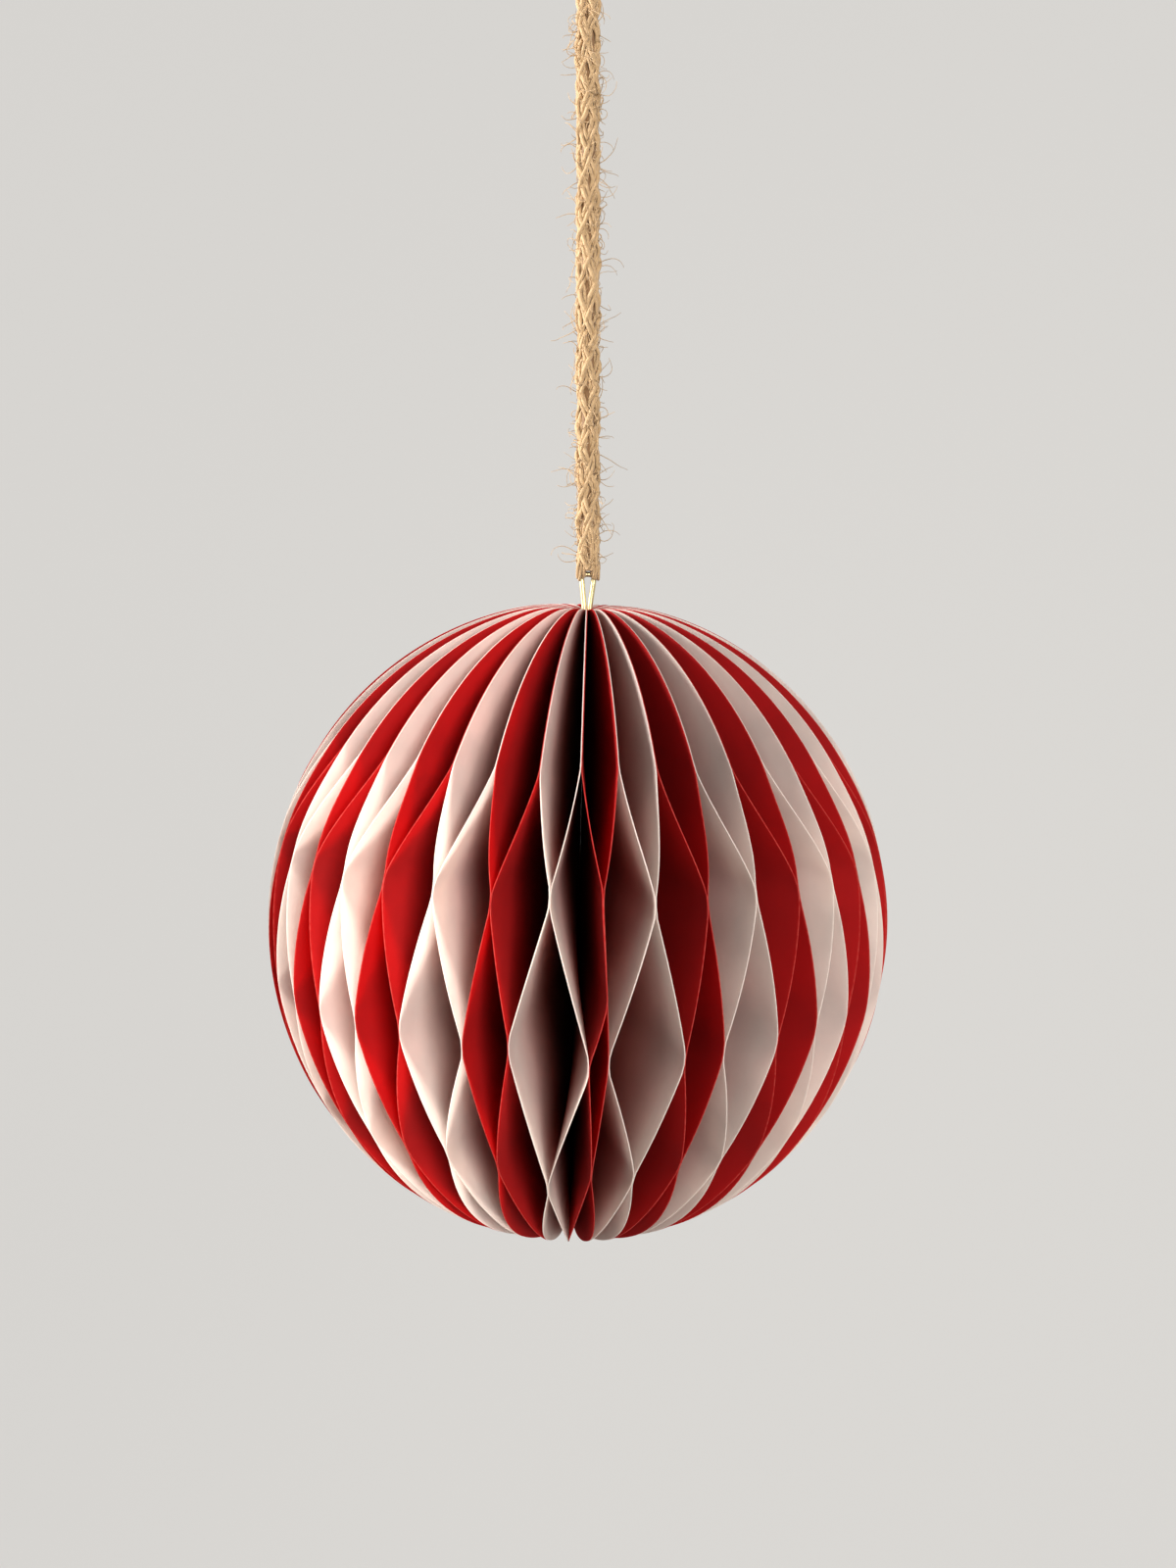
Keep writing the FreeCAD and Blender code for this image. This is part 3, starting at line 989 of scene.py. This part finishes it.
class PAPERBALL_OT_stage(bpy.types.Operator):
    """Sets up the pale backdrop and the soft lamps"""

    bl_idname = "paperball.stage"
    bl_label = "Set the stage"
    bl_options = {"REGISTER", "UNDO"}

    def execute(self, context):
        stage = context.scene.paperball_stage
        self.make_backdrop(stage)
        self.make_lamp("key_lamp", KEY_PLACE, KEY_SIZE, stage.key_power)
        self.make_lamp("front_lamp", FRONT_PLACE, FRONT_SIZE, stage.front_power)
        context.scene.world = self.make_world(stage)
        context.scene.view_settings.view_transform = "Standard"
        return {"FINISHED"}

    def make_world(self, stage):
        """An even light, with the backdrop's colour where the camera looks past the backdrop."""
        world = bpy.data.worlds.new("even_light")
        world.use_nodes = True
        nodes, links = world.node_tree.nodes, world.node_tree.links
        nodes.clear()
        light = nodes.new("ShaderNodeBackground")
        light.inputs["Color"].default_value = SKY_COLOUR
        light.inputs["Strength"].default_value = stage.sky
        seen = nodes.new("ShaderNodeBackground")
        seen.inputs["Color"].default_value = (*stage.seen_backdrop, 1)
        share = self.seen_share(nodes, links)
        both = mixed_shader(
            nodes, links, share, light.outputs["Background"], seen.outputs["Background"]
        )
        output = nodes.new("ShaderNodeOutputWorld")
        links.new(both, output.inputs["Surface"])
        return world

    def seen_share(self, nodes, links):
        """1 for rays that the camera sees by, straight, mirrored or through glass, else 0."""
        rays = nodes.new("ShaderNodeLightPath")
        share = rays.outputs["Is Camera Ray"]
        for name in ("Is Glossy Ray", "Is Transmission Ray"):
            share = calculated(nodes, links, "MAXIMUM", share, rays.outputs[name])
        return share

    def make_lamp(self, name, place, size, power):
        data = bpy.data.lights.new(name, "AREA")
        data.shape = "DISK"
        data.size = size
        data.energy = power
        data.color = LAMP_COLOUR
        data.spread = LAMP_SPREAD
        lamp = bpy.data.objects.new(name, data)
        bpy.context.scene.collection.objects.link(lamp)
        lamp.location = place
        aim = Vector(LAMP_AIM) - Vector(place)
        lamp.rotation_euler = aim.to_track_quat("-Z", "Y").to_euler()

    def make_backdrop(self, stage):
        """A floor that sweeps up into a wall behind the ball."""
        deselect_all()
        bpy.ops.mesh.primitive_plane_add(size=1)
        sweep = bpy.context.object
        turn = np.linspace(0, math.pi / 2, 13)
        profile = [(BACKDROP_NEAR, 0.0)]
        profile += [
            (SWEEP_START + SWEEP * math.sin(a), SWEEP - SWEEP * math.cos(a)) for a in turn
        ]
        profile += [(SWEEP_START + SWEEP, BACKDROP_TOP)]
        vertices, faces = [], []
        for y, z in profile:
            height = z + stage.floor_height
            vertices += [(-BACKDROP_HALF, y, height), (BACKDROP_HALF, y, height)]
        for number in range(len(profile) - 1):
            here = number * 2
            faces.append((here, here + 1, here + 3, here + 2))
        mesh = bpy.data.meshes.new("backdrop")
        mesh.from_pydata(vertices, [], faces)
        mesh.shade_smooth()
        sweep.data = mesh
        sweep.name = "backdrop"
        material, nodes, links, output = new_material("backdrop")
        surface = nodes.new("ShaderNodeBsdfPrincipled")
        surface.inputs["Roughness"].default_value = 0.9
        grain = object_noise(nodes, links, scale=40.0, detail=4.0)
        colour = mixed_colour(
            nodes, links, shaded(stage.backdrop, 0.97), tuple(stage.backdrop), grain
        )
        links.new(colour, surface.inputs["Base Color"])
        pale = nodes.new("ShaderNodeEmission")
        pale.inputs["Color"].default_value = (*stage.seen_backdrop, 1)
        seen = calculated(nodes, links, "MULTIPLY", self.seen_share(nodes, links), SEEN_SHARE)
        both = mixed_shader(
            nodes, links, seen, surface.outputs["BSDF"], pale.outputs["Emission"]
        )
        links.new(both, output.inputs["Surface"])
        mesh.materials.append(material)


class PAPERBALL_PT_panel(bpy.types.Panel):
    """Lists the settings and the steps that make the ball"""

    bl_label = "Paper ball"
    bl_idname = "PAPERBALL_PT_panel"
    bl_space_type = "VIEW_3D"
    bl_region_type = "UI"
    bl_category = "Paper ball"

    def draw(self, context):
        for name in SETTINGS:
            group = getattr(context.scene, name)
            box = self.layout.box()
            for prop in group.bl_rna.properties:
                if not prop.is_readonly and prop.identifier != "name":
                    box.prop(group, prop.identifier)
        for step in STEPS:
            self.layout.operator(step.bl_idname)


SETTINGS = {
    "paperball_paper": PaperSettings,
    "paperball_hanger": HangerSettings,
    "paperball_cord": CordSettings,
    "paperball_stage": StageSettings,
}
STEPS = (
    PAPERBALL_OT_camera,
    PAPERBALL_OT_knot,
    PAPERBALL_OT_cord,
    PAPERBALL_OT_leaves,
    PAPERBALL_OT_wire,
    PAPERBALL_OT_stage,
)


def register():
    for group in (*SETTINGS.values(), *STEPS, PAPERBALL_PT_panel):
        bpy.utils.register_class(group)
    for name, group in SETTINGS.items():
        setattr(bpy.types.Scene, name, PointerProperty(type=group))


def unregister():
    for name in SETTINGS:
        delattr(bpy.types.Scene, name)
    for group in (PAPERBALL_PT_panel, *reversed(STEPS), *SETTINGS.values()):
        bpy.utils.unregister_class(group)


def main():
    register()
    bpy.ops.paperball.camera()
    bpy.ops.paperball.knot()
    bpy.ops.paperball.cord()
    bpy.ops.paperball.leaves()
    bpy.ops.paperball.wire()
    bpy.ops.paperball.stage()


if __name__ == "__main__":
    main()
